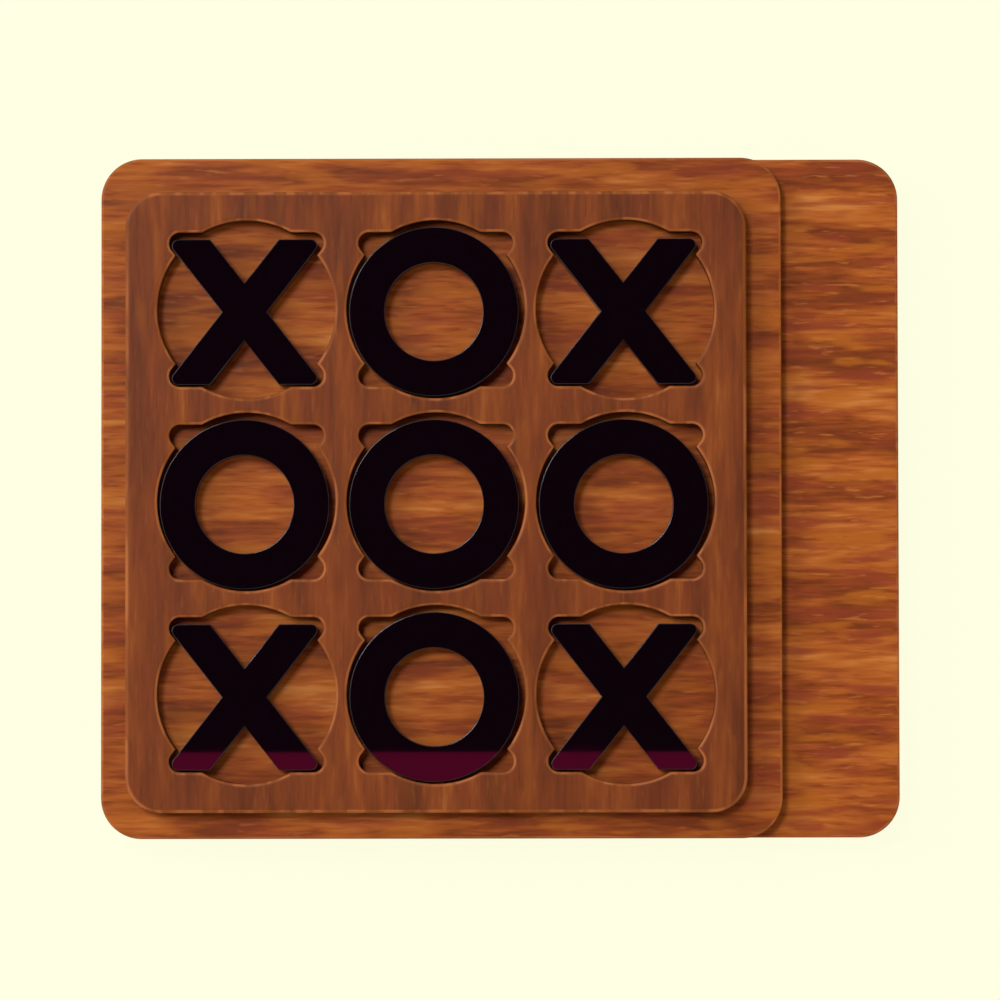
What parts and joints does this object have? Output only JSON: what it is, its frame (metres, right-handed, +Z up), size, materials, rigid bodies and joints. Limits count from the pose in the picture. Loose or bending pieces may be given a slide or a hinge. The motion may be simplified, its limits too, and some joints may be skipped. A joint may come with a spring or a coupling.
{
  "type": "tic-tac-toe game",
  "caption": "Square wooden noughts-and-crosses board with a raised grid of pockets, loose cross and ring pieces, and a plain lid beneath.",
  "frame": {"origin": "on the table under the middle of the whole footprint, the lid's and the board's together", "axes": "+X from the board towards the part of the lid that shows beside it, +Y to the far side of the board, +Z up"},
  "size_m": [0.176, 0.15, 0.0205],
  "materials": {
    "lid_wood": "stained plywood, thin satin varnish, grain along X",
    "base_wood": "stained plywood, thin satin varnish, grain along X",
    "grid_wood": "darker stained plywood, thin satin varnish, grain along Y",
    "black_acrylic": "glossy black cast acrylic sheet"
  },
  "bodies": {
    "lid": {"lid_rim": "lid_wood", "lid_panel": "lid_wood"},
    "board": {"board_base": "base_wood", "grid_plate": "grid_wood"},
    "x_1": {"x_piece_1": "black_acrylic"},
    "x_2": {"x_piece_2": "black_acrylic"},
    "x_3": {"x_piece_3": "black_acrylic"},
    "x_4": {"x_piece_4": "black_acrylic"},
    "o_1": {"o_piece_1": "black_acrylic"},
    "o_2": {"o_piece_2": "black_acrylic"},
    "o_3": {"o_piece_3": "black_acrylic"},
    "o_4": {"o_piece_4": "black_acrylic"},
    "o_5": {"o_piece_5": "black_acrylic"}
  },
  "joints": [
    {"name": "board_lift", "type": "slide", "parent": "lid", "child": "board", "axis": [0, 0, 1], "range_m": [0, 0.03]},
    {"name": "x_1_lift", "type": "slide", "parent": "board", "child": "x_1", "axis": [0, 0, 1], "range_m": [0, 0.015]},
    {"name": "x_2_lift", "type": "slide", "parent": "board", "child": "x_2", "axis": [0, 0, 1], "range_m": [0, 0.015]},
    {"name": "x_3_lift", "type": "slide", "parent": "board", "child": "x_3", "axis": [0, 0, 1], "range_m": [0, 0.015]},
    {"name": "x_4_lift", "type": "slide", "parent": "board", "child": "x_4", "axis": [0, 0, 1], "range_m": [0, 0.015]},
    {"name": "o_1_lift", "type": "slide", "parent": "board", "child": "o_1", "axis": [0, 0, 1], "range_m": [0, 0.015]},
    {"name": "o_2_lift", "type": "slide", "parent": "board", "child": "o_2", "axis": [0, 0, 1], "range_m": [0, 0.015]},
    {"name": "o_3_lift", "type": "slide", "parent": "board", "child": "o_3", "axis": [0, 0, 1], "range_m": [0, 0.015]},
    {"name": "o_4_lift", "type": "slide", "parent": "board", "child": "o_4", "axis": [0, 0, 1], "range_m": [0, 0.015]},
    {"name": "o_5_lift", "type": "slide", "parent": "board", "child": "o_5", "axis": [0, 0, 1], "range_m": [0, 0.015]}
  ]
}
